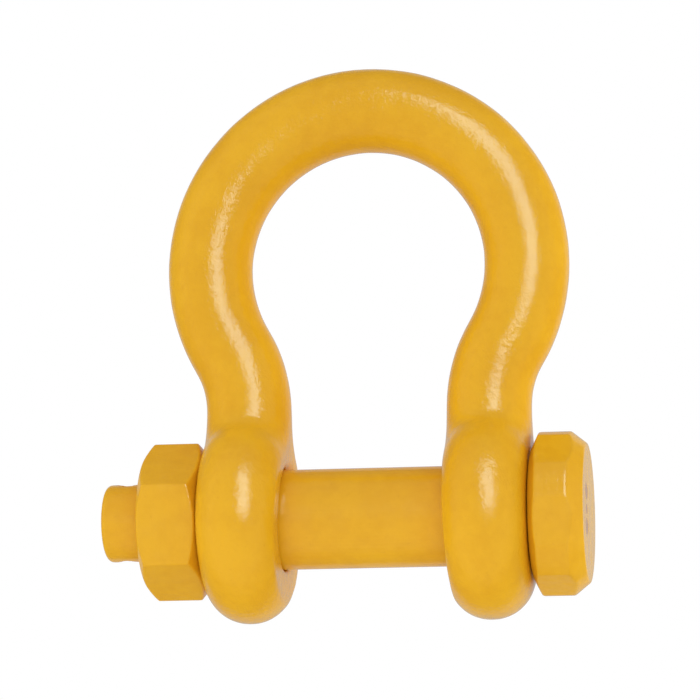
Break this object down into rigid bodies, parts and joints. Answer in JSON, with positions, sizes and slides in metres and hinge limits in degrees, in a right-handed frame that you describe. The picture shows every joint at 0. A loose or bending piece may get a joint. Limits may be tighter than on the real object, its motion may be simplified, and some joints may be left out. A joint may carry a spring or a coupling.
{
  "type": "bow shackle",
  "caption": "Forged bow shackle with rounded eyes, a hexagon-headed bolt threaded at one end and a hexagon nut; opens when the bolt is drawn out.",
  "frame": {"origin": "on the bolt's axis, half way between the two eyes", "axes": "+X along the bolt towards its head, +Y through the bow away from the front, +Z from the bolt up to the crown of the bow"},
  "size_m": [0.1361, 0.058, 0.1572],
  "materials": {
    "bow_paint": "gloss yellow paint on forged steel",
    "bolt_paint": "gloss yellow paint on forged and turned steel",
    "nut_paint": "gloss yellow paint on forged steel"
  },
  "bodies": {
    "bow": {"bow_body": "bow_paint"},
    "bolt": {"safety_bolt": "bolt_paint"},
    "nut": {"hexagon_nut": "nut_paint"}
  },
  "joints": [
    {"name": "nut_turn", "type": "hinge", "parent": "bow", "child": "nut", "pos_m": [-0.0545, 0, 0], "axis": [-1, 0, 0], "range_deg": [0, 13861]},
    {"name": "bolt_travel", "type": "slide", "parent": "bow", "child": "bolt", "axis": [1, 0, 0], "range_m": [0, 0.12224]}
  ],
  "couplings": [
    {"joint": "nut_turn", "follows": "bolt_travel", "rad_per_m": 1979}
  ]
}
